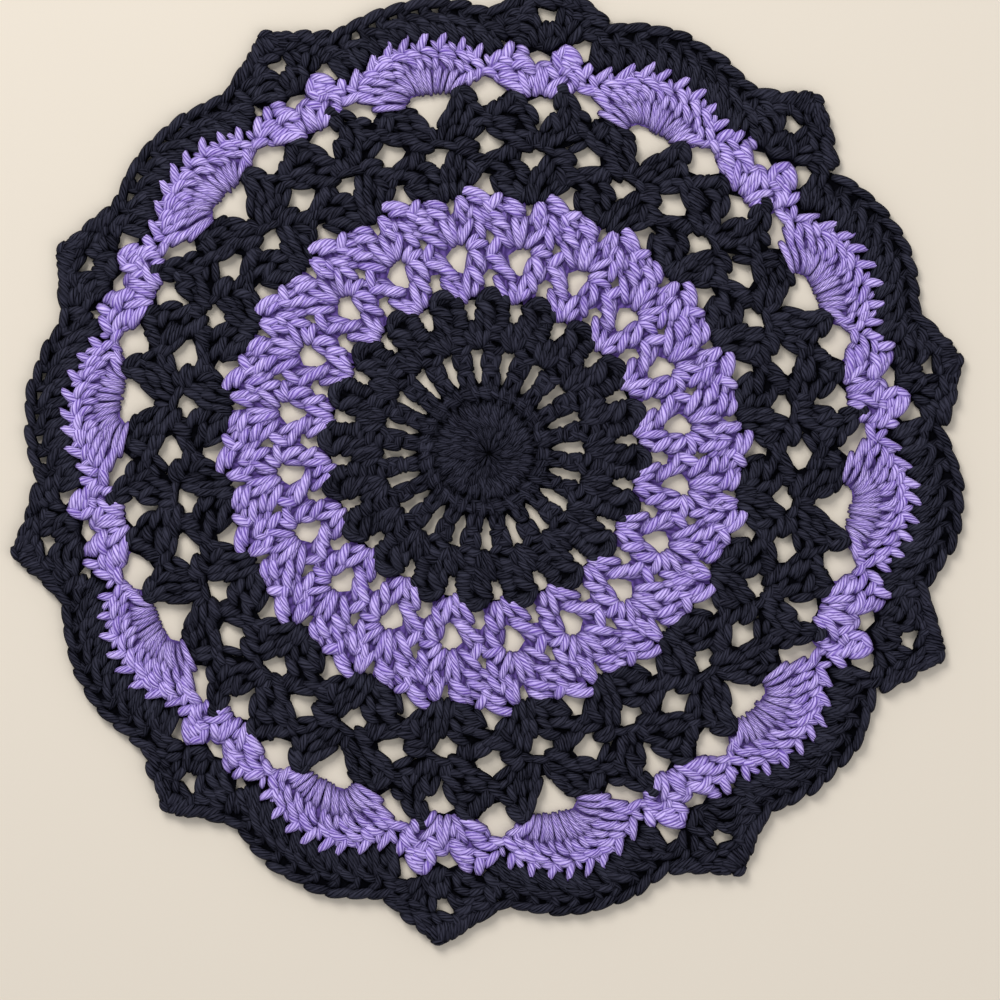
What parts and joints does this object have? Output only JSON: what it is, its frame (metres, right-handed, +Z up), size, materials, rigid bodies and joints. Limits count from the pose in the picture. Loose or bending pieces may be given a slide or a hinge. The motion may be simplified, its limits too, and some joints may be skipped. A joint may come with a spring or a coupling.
{
  "type": "crocheted lace doily",
  "caption": "Flat round openwork crochet doily in black and lilac cotton yarn, with fan scallops and small points round its edge.",
  "frame": {"origin": "centre of the doily, on the surface it lies on", "axes": "+Z up out of the lace, +Y away from the viewer, +X to the right"},
  "size_m": [0.2979, 0.302, 0.0037],
  "materials": {
    "black_yarn": "soft sheen, plied cotton yarn",
    "lilac_yarn": "soft sheen, plied cotton yarn"
  },
  "bodies": {
    "root": {"doily": "black_yarn"}
  },
  "joints": []
}
